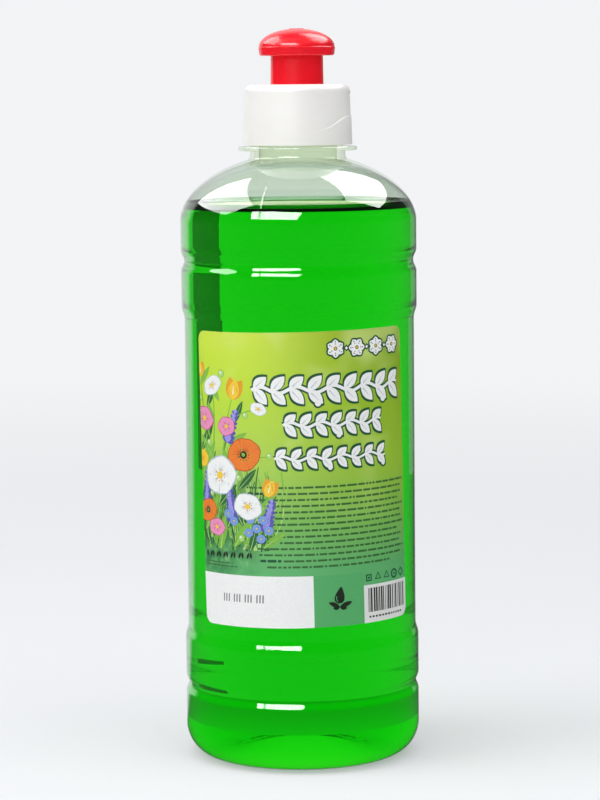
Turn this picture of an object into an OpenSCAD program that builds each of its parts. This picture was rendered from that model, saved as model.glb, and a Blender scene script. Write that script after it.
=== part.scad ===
// Liquid soap bottle: a clear blown bottle with a front label, a screw closure and a push-pull spout.
// The origin is on the bottle's axis at the standing plane. +Z is up and the label faces -Y.

/* [Bottle body] */
// Diameter over the round bands
body_d = 66; // [60:0.5:74]
// Height at which the shoulder curve would meet the axis, above its foot
dome_h = 18.6; // [16:0.1:28]
// Squareness of the shoulder curve, where 2 is an ellipse
dome_power = 1.85; // [1.8:0.05:2.6]
// Wall of the blown body
body_wall = 0.4; // [0.3:0.05:0.8]
// Wall of the shoulder where it meets the neck
crown_wall = 0.9; // [0.6:0.05:1.5]
// Height of the soap above the foot of the shoulder
fill_above = 3.3; // [-60:0.1:10]
// Space between the soap and the wall
fill_gap = 0.2; // [0.1:0.05:0.5]

/* [Bands and grooves] */
// Height of the straight band under the shoulder
shoulder_band_h = 8.55; // [2:0.05:12]
// Width of the upper groove
upper_groove_w = 6; // [3:0.1:8]
// Depth of the upper groove
upper_groove_depth = 0.9; // [0.3:0.05:1.5]
// Height of the band between the upper groove and the label panel
upper_band_h = 9.5; // [4:0.05:16]
// Height over which the wall steps in to the label panel
panel_step_h = 3.8; // [2:0.1:5]
// Depth of the label panel below the bands
panel_depth = 0.8; // [0.4:0.05:1.5]
// Height of the band between the label panel and the lower groove
lower_band_h = 10.45; // [4:0.05:16]
// Width of the lower groove
lower_groove_w = 5.3; // [3:0.1:8]
// Depth of the lower groove
lower_groove_depth = 0.75; // [0.3:0.05:1.5]
// Height of the band between the lower groove and the heel
heel_band_h = 8.65; // [3:0.05:14]

/* [Base] */
// Height of the rounded heel
heel_h = 9.1; // [6:0.1:12]
// Outer diameter of the standing ring
land_outer_d = 50; // [44:0.5:54]
// Inner diameter of the standing ring
land_inner_d = 46; // [38:0.5:48]
// Height of the pushed-up middle
push_up_h = 5.5; // [2:0.1:9]
// Wall of the base
base_wall = 0.8; // [0.5:0.05:1.5]
// Diameter of the gate mark under the base
gate_d = 3; // [2:0.1:5]
// Height of the gate mark
gate_h = 0.4; // [0.2:0.05:1]

/* [Neck] */
// Diameter of the neck under the support ring
neck_d = 26.6; // [25.6:0.1:28]
// Radius where the neck runs into the shoulder
neck_fillet = 1.2; // [0.6:0.1:2]
// Height of the support ring's underside above the top of the shoulder
neck_h = 2.3; // [2.2:0.1:6]
// Diameter of the support ring
ring_d = 33.2; // [31.5:0.1:36]
// Thickness of the support ring
ring_t = 1.2; // [1:0.05:2]
// Diameter of the neck that carries the thread
finish_d = 24.9; // [24:0.1:25.5]
// Height of that neck above the support ring
finish_h = 14.7; // [12:0.1:18]
// Diameter of the bore
bore_d = 21.7; // [19:0.1:22]

/* [Screw closure] */
// Outside diameter of the closure at its foot
cap_foot_d = 30.2; // [29.6:0.1:32]
// Outside diameter of the closure at its deck
cap_deck_d = 29.3; // [28.6:0.1:31]
// Radius of the closure's top edge
cap_edge_r = 2; // [1:0.1:2.4]
// Space between the closure and the support ring
cap_gap = 0.4; // [0.2:0.05:1]
// Thickness of the deck
deck_t = 1.4; // [1:0.05:2]
// Inside diameter of the skirt over the thread
skirt_bore_d = 27.5; // [27:0.05:28]
// Inside diameter of the seat for the sealing ring
seat_d = 26.6; // [26:0.05:27]
// Thickness of the sealing ring
seal_t = 1; // [0.6:0.05:2]
// Space around the sealing ring in its seat
seal_gap = 0.3; // [0.2:0.05:0.5]
// Inside diameter of the sealing ring
seal_bore_d = 19.2; // [15:0.1:21]

/* [Nozzle] */
// Diameter of the nozzle that the spout slides on
nozzle_d = 11.4; // [10:0.1:11.6]
// Diameter of the passage in the nozzle
passage_d = 8.4; // [6.5:0.1:9]
// Height of the bead round the nozzle's top
nozzle_bead_h = 2; // [1:0.1:3]
// How far the bead stands out from the nozzle
bead_out = 0.4; // [0.2:0.05:0.5]
// Diameter of the plug pin
pin_d = 4; // [3:0.1:5]
// Thickness of the spokes that carry the plug pin
spoke_t = 1.2; // [0.8:0.1:2]
// Height of the spokes
spoke_h = 2.5; // [1.5:0.1:4]

/* [Push-pull spout] */
// Travel of the spout from closed to open
travel = 6; // [3:0.1:8]
// Space left at the stop when the spout is open
stop_gap = 0.2; // [0.1:0.05:0.5]
// Running clearance of the spout on the nozzle and on the pin
slide_gap = 0.05; // [0.02:0.01:0.1]
// Diameter of the stem at its foot
stem_foot_d = 14.8; // [14.4:0.05:16]
// Diameter of the stem under the head
stem_head_d = 14.6; // [14.2:0.05:15.8]
// Height of the stem
stem_h = 7.9; // [7:0.1:10]
// Diameter of the head
head_d = 21.4; // [18:0.1:24]
// Height of the head's rim
rim_h = 2.5; // [2:0.1:4]
// How much narrower the rim is at its foot
rim_taper = 0.4; // [0:0.05:1]
// Height of the head's dome
dome_top_h = 5; // [3:0.1:7]
// Height of the spout's inner bead
spout_bead_h = 2; // [1:0.1:3]
// Thickness of the roof round the outlet
roof_t = 2.6; // [1.5:0.1:3.5]

/* [Label] */
// Width of the label along the curve
label_w = 66.4; // [50:0.2:80]
// Height of the label
label_h = 81; // [60:0.5:96]
// Space between the label's foot and the lower step
label_foot_margin = 3.7; // [1:0.1:8]
// Space between the label's head and the upper step
label_head_margin = 1.4; // [1:0.1:8]
// Radius of the label's corners
label_corner_r = 2.5; // [1:0.1:5]
// Thickness of the film
film_t = 0.12; // [0.08:0.01:0.3]
// Layer of glue under the film
glue_t = 0.05; // [0.03:0.01:0.1]
// How far the print stands on the film
print_t = 0.04; // [0.02:0.01:0.1]
// How far the label is turned from the front
label_turn = 2; // [-10:0.5:10]
// How far the label leans from upright
label_lean = 1; // [-3:0.1:3]

/* [Label print] */
// Height of the band of fields along the label's foot
foot_field_h = 14.3; // [8:0.1:18]
// Width of the white field at its left
date_w = 34.8; // [20:0.2:40]
// Width of the green field beside it
amount_w = 14.6; // [8:0.2:20]
// Height of the striped field at its right
code_h = 10.5; // [6:0.1:14]
// Number of stripes
stripes = 18; // [8:1:30]
// Bare margin round the stripes
code_margin = 1.3; // [0.5:0.1:2]
// Number of fine rows
small_rows = 10; // [4:1:12]
// Number of bars in each fine row
small_bars = 5; // [3:1:8]
// Distance from one fine row to the next
small_pitch = 2.3; // [1.5:0.1:3]
// Left end of the fine rows
small_left = -16; // [-20:0.5:0]
// Height of the lowest fine row, from the label's middle
small_foot = -24.5; // [-26:0.5:-15]

/* [Hidden] */
$fn = 120;

clear_plastic = [0.86, 0.94, 0.90, 0.35];
soap_green = [0.15, 0.78, 0.06];
label_green = [0.60, 0.84, 0.12];
deep_green = [0.16, 0.46, 0.14];
mid_green = [0.30, 0.68, 0.38];

// Print on the label. Places across and lengths across are shares of its width, and those
// up and down are shares of its height, all from its middle.
// Left end, right end, foot and height of each row of leaves
title_rows = [[-0.2, 0.45, 0.27, 0.085], [-0.08, 0.36, 0.155, 0.075], [-0.1, 0.38, 0.045, 0.06]];
// Place and radius of each blossom
white_blossoms = [[-0.39, 0.33, 0.06], [-0.27, 0.17, 0.05], [-0.41, 0.1, 0.045], [-0.3, -0.07, 0.063]];
blue_blossoms = [[-0.44, -0.04, 0.045], [-0.38, -0.15, 0.054], [-0.2, -0.17, 0.036]];
orange_blossoms = [[-0.29, 0.05, 0.045], [-0.44, 0.21, 0.039]];
// Foot, length, width and slant of each blade
grass = [[-0.47, -0.32, 0.25, 0.033, 4], [-0.39, -0.32, 0.11, 0.03, -3],
         [-0.32, -0.32, 0.17, 0.036, 2], [-0.35, 0.11, 0.17, 0.024, 3]];

body_r = body_d / 2;
neck_r = neck_d / 2;
bore_r = bore_d / 2;
ring_r = ring_d / 2;
finish_r = finish_d / 2;
land_outer_r = land_outer_d / 2;
land_inner_r = land_inner_d / 2;
panel_r = body_r - panel_depth;
ring_edge_r = ring_t * 0.4;
lip_edge_r = 0.5;

lower_groove_z = heel_h + heel_band_h + lower_groove_w / 2;
panel_foot_z = lower_groove_z + lower_groove_w / 2 + lower_band_h;
label_z = panel_foot_z + panel_step_h + label_foot_margin;
panel_head_z = label_z + label_h + label_head_margin + panel_step_h;
upper_groove_z = panel_head_z + upper_band_h + upper_groove_w / 2;
shoulder_z = upper_groove_z + upper_groove_w / 2 + shoulder_band_h;
fill_z = shoulder_z + fill_above;

neck_z = dome_z(neck_r, 0, 0);
ring_z = neck_z + neck_h;
ring_top_z = ring_z + ring_t;
lip_z = ring_top_z + finish_h;

deck_under_z = lip_z + seal_t;
deck_z = deck_under_z + deck_t;
cap_foot_z = ring_top_z + cap_gap;
seat_h = 3 * seal_t;
seal_r = seat_d / 2 - seal_gap;

nozzle_r = nozzle_d / 2;
nozzle_bead_r = nozzle_r + bead_out;
nozzle_h = spout_bead_h + travel + stop_gap + nozzle_bead_h;
nozzle_z = deck_z + nozzle_h;
passage_r = passage_d / 2;
spokes = 3;
spokes_z = nozzle_z - spoke_h;
pin_edge_r = 0.5;
pin_drop = 0.5;

head_z = deck_z + stem_h;
rim_top_z = head_z + rim_h;
spout_top_z = rim_top_z + dome_top_h;
roof_z = spout_top_z - roof_t;
pin_top_z = spout_top_z - pin_drop;
outlet_r = pin_d / 2 + slide_gap;
slide_r = nozzle_r + slide_gap;
spout_bore_r = nozzle_bead_r + slide_gap;

film_inner_r = panel_r + glue_t;
film_outer_r = film_inner_r + film_t;
label_mid_z = label_z + label_h / 2;

// Points evenly spaced from a to b
function steps(a, b, n) = [for (i = [0:n]) a + (b - a) * i / n];

// Rises smoothly from 0 to 1 as x goes from 0 to 1
function ease(x) = (1 - cos(180 * min(max(x, 0), 1))) / 2;

// Depth at height z of a round-bottomed groove
function groove(z, middle, w, depth) =
    abs(z - middle) < w / 2 ? depth * (1 + cos(360 * (z - middle) / w)) / 2 : 0;

// Depth at height z of the label panel between its two steps
function panel(z) =
    panel_depth * ease((z - panel_foot_z) / panel_step_h) * ease((panel_head_z - z) / panel_step_h);

// Radius of the side at height z
function side_r(z) =
    body_r
    - groove(z, upper_groove_z, upper_groove_w, upper_groove_depth)
    - groove(z, lower_groove_z, lower_groove_w, lower_groove_depth)
    - panel(z);

// Height of the shoulder at radius r, for a wall inset from the outside and thinned at the crown
function dome_z(r, inset, crown) =
    shoulder_z
    + (dome_h - crown) * pow(max(1 - pow(r / (body_r - inset), dome_power), 0), 1 / dome_power);

// Arc about a centre, from angle a to angle b
function arc(x, z, r, a, b, n) = [for (t = steps(a, b, n)) [x + r * cos(t), z + r * sin(t)]];

// Smooth bend on from p to r that is pulled towards q
function bend(p, q, r, n) =
    [for (t = steps(1 / n, 1, n - 1)) (1 - t) * (1 - t) * p + 2 * t * (1 - t) * q + t * t * r];

function reversed(list) = [for (i = [len(list) - 1:-1:0]) list[i]];

side_heights = concat(
    steps(lower_groove_z - lower_groove_w / 2, lower_groove_z + lower_groove_w / 2, 12),
    steps(panel_foot_z, panel_foot_z + panel_step_h, 8),
    steps(panel_head_z - panel_step_h, panel_head_z, 8),
    steps(upper_groove_z - upper_groove_w / 2, upper_groove_z + upper_groove_w / 2, 12)
);

// Half section of the body from the middle of the base to radius end_r on the shoulder.
// inset is the wall at the side, lift the wall of the base and crown the wall at the top.
function body_path(inset, lift, crown, end_r) = concat(
    [for (r = steps(0, land_inner_r, 14)) [r, lift + push_up_h * (1 + cos(180 * r / land_inner_r)) / 2]],
    [for (t = steps(0, 90, 12))
        [land_outer_r + (body_r - inset - land_outer_r) * sin(t), heel_h - (heel_h - lift) * cos(t)]],
    [for (z = side_heights) [side_r(z) - inset, z]],
    [for (t = steps(0, 1, 24))
        let (r = end_r + (body_r - inset - end_r) * cos(90 * t)) [r, dome_z(r, inset, crown)]]
);

// Outside of the neck, from the shoulder over the support ring to the lip
neck_path = concat(
    bend([neck_r + neck_fillet, dome_z(neck_r + neck_fillet, 0, 0)], [neck_r, neck_z],
         [neck_r, neck_z + neck_fillet], 5),
    [[neck_r, ring_z]],
    arc(ring_r - ring_edge_r, ring_z + ring_edge_r, ring_edge_r, -90, 0, 4),
    arc(ring_r - ring_edge_r, ring_top_z - ring_edge_r, ring_edge_r, 0, 90, 4),
    [[finish_r, ring_top_z]],
    arc(finish_r - lip_edge_r, lip_z - lip_edge_r, lip_edge_r, 0, 90, 4),
    [[bore_r, lip_z]]
);

module bottle() {
    color(clear_plastic) {
        rotate_extrude() polygon(concat(
            body_path(0, 0, 0, neck_r + neck_fillet),
            neck_path,
            reversed(body_path(body_wall, base_wall, crown_wall, bore_r))
        ));
        translate([0, 0, push_up_h - gate_h]) cylinder(d = gate_d, h = gate_h + base_wall / 2);
    }
}

module liquid_soap() {
    inset = body_wall + fill_gap;
    color(soap_green) intersection() {
        rotate_extrude() polygon(concat(
            body_path(inset, base_wall + fill_gap, crown_wall + fill_gap, bore_r),
            [[0, dome_z(bore_r, inset, crown_wall + fill_gap)]]
        ));
        cylinder(r = body_r, h = fill_z);
    }
}

// Distance across the front of a point that lies s along the label's curve
function wrap(s) = film_outer_r * sin(s / film_outer_r * 180 / PI);

// Turns a flat outline by an angle from upright, moves it to s, z and wraps it on the curve
function placed(points, s, z, angle) = [for (p = points)
    [wrap(s + p[0] * cos(angle) + p[1] * sin(angle)), z - p[0] * sin(angle) + p[1] * cos(angle)]];

// Puts a flat drawing, with its middle at the label's middle, on a layer of the curved label
module on_label(inner_r, outer_r) {
    translate([0, 0, label_mid_z]) rotate([0, 0, label_turn]) intersection() {
        rotate([0, -label_lean, 0]) rotate([90, 0, 0]) linear_extrude(film_outer_r * 2) children();
        translate([0, 0, -label_h]) difference() {
            cylinder(r = outer_r, h = label_h * 2);
            translate([0, 0, -1]) cylinder(r = inner_r, h = label_h * 2 + 2);
        }
    }
}

// A layer of print, which stands on the film and is sunk a little into it
module print(layer) {
    on_label(film_outer_r - film_t / 3, film_outer_r + print_t * layer) children();
}

module label_outline() {
    polygon(placed(concat(
        arc(label_w / 2 - label_corner_r, label_h / 2 - label_corner_r, label_corner_r, 0, 90, 5),
        arc(label_corner_r - label_w / 2, label_h / 2 - label_corner_r, label_corner_r, 90, 180, 5),
        arc(label_corner_r - label_w / 2, label_corner_r - label_h / 2, label_corner_r, 180, 270, 5),
        arc(label_w / 2 - label_corner_r, label_corner_r - label_h / 2, label_corner_r, 270, 360, 5)
    ), 0, 0, 0));
}

// Rectangle of print between two edges and two heights
module field(left, right, foot, head) {
    polygon(placed([[left, foot], [right, foot], [right, head], [left, head]], 0, 0, 0));
}

module dot(s, z, r) {
    polygon(placed(arc(0, 0, r, 0, 330, 11), s, z, 0));
}

// Blossom with round petals, its outline one wavy ring
module blossom(s, z, r, petals) {
    polygon(placed([for (t = steps(0, 360 - 60 / petals, petals * 6 - 1))
        r * (0.78 + 0.22 * cos(petals * t)) * [sin(t), cos(t)]], s, z, 0));
}

// Pointed leaf from its foot towards an angle from upright
module leaf(s, z, length, width, angle) {
    polygon(placed(concat(
        [for (t = steps(0, 1, 5)) [width / 2 * sin(180 * t), length * t]],
        [for (t = steps(0.8, 0.2, 3)) [-width / 2 * sin(180 * t), length * t]]
    ), s, z, angle));
}

// Row of leaves that lean to either side of a line, in place of a line of large type
module sprig(left, right, z, h) {
    count = round((right - left) / (h * 0.62));
    pitch = (right - left) / count;
    for (i = [0:count - 1])
        leaf(left + pitch * (i + 0.5), z + (i % 2 == 0 ? 0 : h), h, h * 0.4, i % 2 == 0 ? 35 : 145);
}

// Bar across the label's foot, cut off by the label's own outline
module foot_field(left, right, h) {
    intersection() {
        field(left, right, -label_h / 2, h - label_h / 2);
        label_outline();
    }
}

module blossoms(list, petals) {
    for (b = list) blossom(b[0] * label_w, b[1] * label_h, b[2] * label_w, petals);
}

module stripe_print() {
    left = date_w + amount_w - label_w / 2 + code_margin;
    pitch = (label_w / 2 - code_margin - left) / stripes;
    for (i = [0:stripes - 1])
        field(left + pitch * i, left + pitch * (i + 0.3 + 0.15 * (i * 5 % 3)),
              code_margin - label_h / 2, code_h - code_margin - label_h / 2);
}

module small_print() {
    for (i = [0:small_rows - 1]) {
        left = small_left + i % 3 * code_margin;
        pitch = (label_w / 2 - code_margin * (1 + i * 7 % 4) - left) / small_bars;
        for (k = [0:small_bars - 1])
            field(left + pitch * k, left + pitch * (k + 1) - code_margin / 2,
                  small_foot + i * small_pitch, small_foot + (i + 0.3) * small_pitch);
    }
}

module label() {
    color(label_green) on_label(film_inner_r, film_outer_r) label_outline();
    color("white") print(1)
        for (row = title_rows)
            sprig(row[0] * label_w, row[1] * label_w, row[2] * label_h, row[3] * label_h);
    color(mid_green) print(1) foot_field(-label_w / 2, label_w / 2, foot_field_h);
    color("white") print(2) {
        foot_field(-label_w / 2, date_w - label_w / 2, foot_field_h);
        foot_field(date_w + amount_w - label_w / 2, label_w / 2, code_h);
    }
    color("black") print(3) stripe_print();
    color(deep_green) print(1) small_print();
    color("white") print(1) blossoms(white_blossoms, 5);
    color("mediumpurple") print(1) blossoms(blue_blossoms, 6);
    color("orange") print(1) blossoms(orange_blossoms, 7);
    color("gold") print(2)
        for (b = white_blossoms) dot(b[0] * label_w, b[1] * label_h, b[2] * label_w / 4);
    color(deep_green) print(2)
        for (b = grass) leaf(b[0] * label_w, b[1] * label_h, b[2] * label_h, b[3] * label_w, b[4]);
}

module neck_seal() {
    color("whitesmoke") translate([0, 0, lip_z]) difference() {
        cylinder(r = seal_r, h = seal_t);
        translate([0, 0, -1]) cylinder(d = seal_bore_d, h = seal_t + 2);
    }
}

module cap_base() {
    skirt_r = skirt_bore_d / 2;
    seat_r = seat_d / 2;
    edge_x = cap_deck_d / 2 - cap_edge_r;
    bead_z = nozzle_z - nozzle_bead_h;
    pin_h = pin_top_z - spokes_z;
    color("white") {
        rotate_extrude() polygon(concat(
            [[skirt_r, cap_foot_z], [cap_foot_d / 2, cap_foot_z]],
            arc(edge_x, deck_z - cap_edge_r, cap_edge_r, 0, 90, 8),
            [[nozzle_r, deck_z], [nozzle_r, bead_z], [nozzle_bead_r, bead_z + bead_out],
             [nozzle_bead_r, nozzle_z - bead_out], [nozzle_r, nozzle_z],
             [passage_r, nozzle_z], [passage_r, deck_under_z], [seat_r, deck_under_z],
             [seat_r, deck_under_z - seat_h], [skirt_r, deck_under_z - seat_h - (skirt_r - seat_r)]]
        ));
        for (i = [0:spokes - 1]) rotate([0, 0, i * 360 / spokes])
            translate([0, -spoke_t / 2, spokes_z])
                cube([(passage_r + nozzle_r) / 2, spoke_t, spoke_h]);
        translate([0, 0, spokes_z]) rotate_extrude() polygon(concat(
            [[0, 0], [pin_d / 2, 0]],
            arc(pin_d / 2 - pin_edge_r, pin_h - pin_edge_r, pin_edge_r, 0, 90, 4),
            [[0, pin_h]]
        ));
    }
}

module spout() {
    rim_foot_r = (head_d - rim_taper) / 2;
    rim_round = 0.7;
    line_in = 0.15;
    dome_r = head_d / 2 - line_in;
    bead_top_z = deck_z + spout_bead_h;
    color("red") rotate_extrude() polygon(concat(
        [[slide_r, deck_z], [stem_foot_d / 2, deck_z], [stem_head_d / 2, head_z]],
        arc(rim_foot_r - rim_round, head_z + rim_round, rim_round, -90, 0, 6),
        [[head_d / 2, rim_top_z - line_in], [dome_r, rim_top_z]],
        [for (t = steps(5, 80, 15)) [dome_r * cos(t), rim_top_z + dome_top_h * sin(t)]],
        [[outlet_r, spout_top_z], [outlet_r, roof_z], [spout_bore_r, roof_z],
         [spout_bore_r, bead_top_z + bead_out], [slide_r, bead_top_z]]
    ));
}

bottle();
liquid_soap();
label();
neck_seal();
cap_base();
spout();
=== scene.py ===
import math
import random

import bmesh
import bpy
from mathutils import Matrix, Vector

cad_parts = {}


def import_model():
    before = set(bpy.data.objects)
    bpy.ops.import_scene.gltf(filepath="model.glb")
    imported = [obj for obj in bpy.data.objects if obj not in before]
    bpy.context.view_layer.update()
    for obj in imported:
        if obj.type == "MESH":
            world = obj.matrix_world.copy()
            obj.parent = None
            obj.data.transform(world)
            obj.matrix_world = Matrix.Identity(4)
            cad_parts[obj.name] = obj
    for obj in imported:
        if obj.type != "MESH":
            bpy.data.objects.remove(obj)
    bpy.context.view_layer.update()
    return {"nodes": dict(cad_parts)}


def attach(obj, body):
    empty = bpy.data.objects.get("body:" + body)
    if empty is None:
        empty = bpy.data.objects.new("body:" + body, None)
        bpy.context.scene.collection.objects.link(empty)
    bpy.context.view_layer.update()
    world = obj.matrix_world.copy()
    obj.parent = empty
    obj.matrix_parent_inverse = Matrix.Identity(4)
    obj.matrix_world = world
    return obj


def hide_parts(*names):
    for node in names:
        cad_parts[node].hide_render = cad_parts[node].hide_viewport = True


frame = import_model()

MM = 0.001

# Sizes of the bottle in millimetres, as the part's source has them
BODY_R = 33.0
DOME_H = 18.6
DOME_POWER = 1.85
WALL_SHOWN = 0.15
CROWN_WALL = 0.9
HEEL_H = 9.1
HEEL_BAND_H = 8.65
LOWER_GROOVE_W = 5.3
LOWER_GROOVE_DEPTH = 0.75
LOWER_BAND_H = 10.45
STEP_H = 3.8
PANEL_DEPTH = 0.8
LABEL_W = 66.4
LABEL_H = 81.0
FOOT_MARGIN = 3.7
HEAD_MARGIN = 1.4
UPPER_BAND_H = 9.5
UPPER_GROOVE_W = 6.0
UPPER_GROOVE_DEPTH = 0.9
SHOULDER_BAND_H = 8.55
FILL_ABOVE = 3.3
LAND_OUTER_R = 25.0
LAND_INNER_R = 23.0
PUSH_UP_H = 5.5
NECK_R = 13.3
NECK_FILLET = 1.2
NECK_H = 2.3
RING_R = 16.6
RING_T = 1.2
FINISH_R = 12.45
FINISH_H = 14.7
BORE_R = 10.85
THREAD_R = 13.55
THREAD_PITCH = 3.18
CAP_GAP = 0.4

LOWER_GROOVE_Z = HEEL_H + HEEL_BAND_H + LOWER_GROOVE_W / 2
PANEL_FOOT_Z = LOWER_GROOVE_Z + LOWER_GROOVE_W / 2 + LOWER_BAND_H
LABEL_Z = PANEL_FOOT_Z + STEP_H + FOOT_MARGIN
PANEL_HEAD_Z = LABEL_Z + LABEL_H + HEAD_MARGIN + STEP_H
UPPER_GROOVE_Z = PANEL_HEAD_Z + UPPER_BAND_H + UPPER_GROOVE_W / 2
SHOULDER_Z = UPPER_GROOVE_Z + UPPER_GROOVE_W / 2 + SHOULDER_BAND_H
FILL_Z = SHOULDER_Z + FILL_ABOVE
PANEL_R = BODY_R - PANEL_DEPTH


def steps(a, b, n):
    return [a + (b - a) * i / n for i in range(n + 1)]


def ease(x):
    return (1 - math.cos(math.pi * min(max(x, 0), 1))) / 2


def groove(z, middle, width, depth):
    if abs(z - middle) >= width / 2:
        return 0
    return depth * (1 + math.cos(2 * math.pi * (z - middle) / width)) / 2


def side_r(z):
    """Outside radius of the straight body at height z."""
    panel = PANEL_DEPTH * ease((z - PANEL_FOOT_Z) / STEP_H) * ease((PANEL_HEAD_Z - z) / STEP_H)
    return (
        BODY_R
        - panel
        - groove(z, UPPER_GROOVE_Z, UPPER_GROOVE_W, UPPER_GROOVE_DEPTH)
        - groove(z, LOWER_GROOVE_Z, LOWER_GROOVE_W, LOWER_GROOVE_DEPTH)
    )


def dome_z(r, inset, crown):
    """Height of the shoulder at radius r, inset at the side and lowered at the crown."""
    share = max(1 - (r / (BODY_R - inset)) ** DOME_POWER, 0)
    return SHOULDER_Z + (DOME_H - crown) * share ** (1 / DOME_POWER)


def dome_r(z, inset, crown):
    """Radius of the shoulder at height z."""
    share = max(1 - ((z - SHOULDER_Z) / (DOME_H - crown)) ** DOME_POWER, 0)
    return (BODY_R - inset) * share ** (1 / DOME_POWER)


def arc(x, z, r, a, b, n):
    return [
        (x + r * math.cos(math.radians(t)), z + r * math.sin(math.radians(t)))
        for t in steps(a, b, n)
    ]


def bend(p, q, r, n):
    """Smooth bend on from p to r that is pulled towards q."""
    return [
        tuple((1 - t) ** 2 * p[k] + 2 * t * (1 - t) * q[k] + t * t * r[k] for k in (0, 1))
        for t in steps(1 / n, 1, n - 1)
    ]


def base_path(inset, lift):
    """Half section from the middle of the base to the head of the heel."""
    path = [
        (r, lift + PUSH_UP_H * (1 + math.cos(math.pi * r / LAND_INNER_R)) / 2)
        for r in steps(0, LAND_INNER_R, 28)
    ]
    reach = BODY_R - inset - LAND_OUTER_R
    for t in steps(0, 90, 24):
        angle = math.radians(t)
        path.append((LAND_OUTER_R + reach * math.sin(angle), HEEL_H - (HEEL_H - lift) * math.cos(angle)))
    return path


def side_path(inset):
    """The straight side from the heel to the foot of the shoulder, in close steps at its bends."""
    heights, at = [], HEEL_H
    for foot, height, count in (
        (LOWER_GROOVE_Z - LOWER_GROOVE_W / 2, LOWER_GROOVE_W, 22),
        (PANEL_FOOT_Z, STEP_H, 16),
        (PANEL_HEAD_Z - STEP_H, STEP_H, 16),
        (UPPER_GROOVE_Z - UPPER_GROOVE_W / 2, UPPER_GROOVE_W, 24),
    ):
        heights += steps(at, foot, 4)[1:] + steps(foot, foot + height, count)[1:]
        at = foot + height
    heights += steps(at, SHOULDER_Z, 4)[1:]
    return [(side_r(z) - inset, z) for z in heights]


def dome_path(inset, crown, end_r):
    """The shoulder from its foot to radius end_r."""
    reach = BODY_R - inset - end_r
    path = []
    for t in steps(0, 90, 52)[1:]:
        r = end_r + reach * math.cos(math.radians(t))
        path.append((r, dome_z(r, inset, crown)))
    return path


def revolve(name, path, turns, bulge=None, slot_of=None):
    """Turns a half section in millimetres about Z. Points on the axis become one vertex.
    bulge(angle, r, z, i) is added to the radius of point i, and slot_of(i) is the material of
    the faces between points i and i + 1."""
    rings, verts = [], []
    for i, (r, z) in enumerate(path):
        if r < 1e-6:
            rings.append([len(verts)])
            verts.append((0, 0, z * MM))
            continue
        ring = []
        for angle in turns:
            radius = r + (bulge(angle, r, z, i) if bulge else 0)
            ring.append(len(verts))
            verts.append((radius * math.cos(angle) * MM, radius * math.sin(angle) * MM, z * MM))
        rings.append(ring)
    faces, slots = [], []
    count = len(turns)
    for i in range(len(path) - 1):
        low, high = rings[i], rings[i + 1]
        for k in range(count):
            n = (k + 1) % count
            if len(low) == 1:
                faces.append((low[0], high[n], high[k]))
            elif len(high) == 1:
                faces.append((low[k], low[n], high[0]))
            else:
                faces.append((low[k], low[n], high[n], high[k]))
            slots.append(slot_of(i) if slot_of else 0)
    return mesh_object(name, verts, faces, slots)


def mesh_object(name, verts, faces, slots=None, smooth=True, sharp=35):
    mesh = bpy.data.meshes.new(name)
    mesh.from_pydata(verts, [], faces)
    if slots:
        mesh.polygons.foreach_set("material_index", slots)
    mesh.polygons.foreach_set("use_smooth", [smooth] * len(mesh.polygons))
    mesh.update()
    if smooth:
        mesh.set_sharp_from_angle(angle=math.radians(sharp))
    piece = bpy.data.objects.new(name, mesh)
    bpy.context.scene.collection.objects.link(piece)
    return piece


# Materials


def new_material(name):
    """A material with its node tree emptied down to the output."""
    material = bpy.data.materials.new(name)
    material.use_nodes = True
    tree = material.node_tree
    tree.nodes.clear()
    out = tree.nodes.new("ShaderNodeOutputMaterial")
    return material, tree, out


def noise(tree, scale, detail=2.0):
    """Noise over the piece's own place."""
    node = tree.nodes.new("ShaderNodeTexNoise")
    node.inputs["Scale"].default_value = scale
    node.inputs["Detail"].default_value = detail
    place = tree.nodes.new("ShaderNodeTexCoord")
    tree.links.new(place.outputs["Object"], node.inputs["Vector"])
    return node.outputs["Fac"]


def ramp(tree, socket, *stops):
    """Colours at rising positions of a value."""
    node = tree.nodes.new("ShaderNodeValToRGB")
    band = node.color_ramp
    while len(band.elements) < len(stops):
        band.elements.new(0.5)
    for element, (position, colour) in zip(band.elements, stops):
        element.position = position
        element.color = (*colour, 1)
    tree.links.new(socket, node.inputs["Fac"])
    return node.outputs["Color"]


def plastic(name, colour, roughness, subsurface=0.0, speckle=60.0, bump=0.02):
    """Moulded plastic: a colour with faint clouding, fine unevenness in its gloss and surface."""
    material, tree, out = new_material(name)
    nodes, links = tree.nodes, tree.links
    shader = nodes.new("ShaderNodeBsdfPrincipled")
    cloud = noise(tree, speckle, 4)
    tone = ramp(tree, cloud, (0.3, [c * 0.965 for c in colour]), (0.7, colour))
    links.new(tone, shader.inputs["Base Color"])
    gloss = nodes.new("ShaderNodeMapRange")
    gloss.inputs["To Min"].default_value = roughness * 0.85
    gloss.inputs["To Max"].default_value = roughness * 1.15
    links.new(cloud, gloss.inputs["Value"])
    links.new(gloss.outputs["Result"], shader.inputs["Roughness"])
    relief = nodes.new("ShaderNodeBump")
    relief.inputs["Strength"].default_value = bump
    relief.inputs["Distance"].default_value = 0.0002
    links.new(noise(tree, speckle * 40), relief.inputs["Height"])
    links.new(relief.outputs["Normal"], shader.inputs["Normal"])
    shader.inputs["Subsurface Weight"].default_value = subsurface
    shader.inputs["Subsurface Radius"].default_value = (0.002, 0.0015, 0.001)
    links.new(shader.outputs["BSDF"], out.inputs["Surface"])
    return material


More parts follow.
